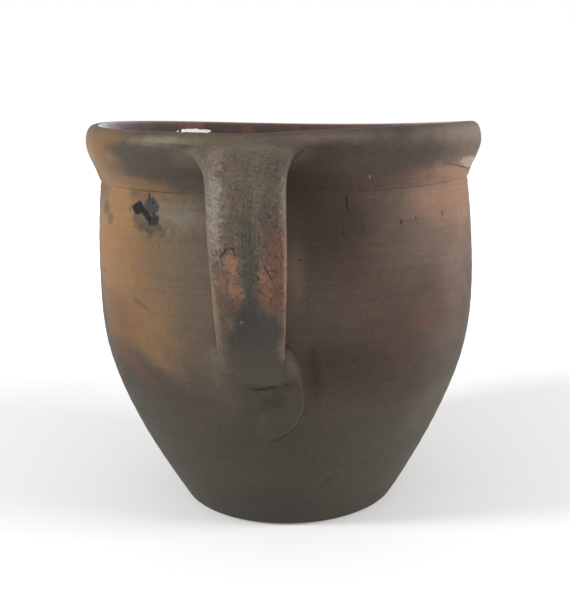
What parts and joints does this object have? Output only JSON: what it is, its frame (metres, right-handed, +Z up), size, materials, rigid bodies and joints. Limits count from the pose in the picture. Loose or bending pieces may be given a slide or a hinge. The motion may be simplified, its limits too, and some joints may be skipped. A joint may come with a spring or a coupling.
{
  "type": "redware crock",
  "caption": "Wheel-thrown earthenware crock with a rolled rim, one strap handle thumbed onto the wall below, and a glazed inside.",
  "frame": {"origin": "centre of the resting face, on the pot's axis", "axes": "+Z up along the pot's axis, -Y towards the handle, +X to the right as one faces the handle"},
  "size_m": [0.22, 0.2457, 0.215],
  "materials": {
    "fired_clay": "unglazed, smoke-clouded, matt to faintly waxed",
    "brown_glaze": "clear lead glaze over red clay, dark brown and glossy",
    "worn_clay": "unglazed, rubbed by handling"
  },
  "bodies": {
    "root": {"crock_body": "fired_clay", "glaze_lining": "brown_glaze", "strap_handle": "worn_clay", "thumbed_terminal": "fired_clay"}
  },
  "joints": []
}
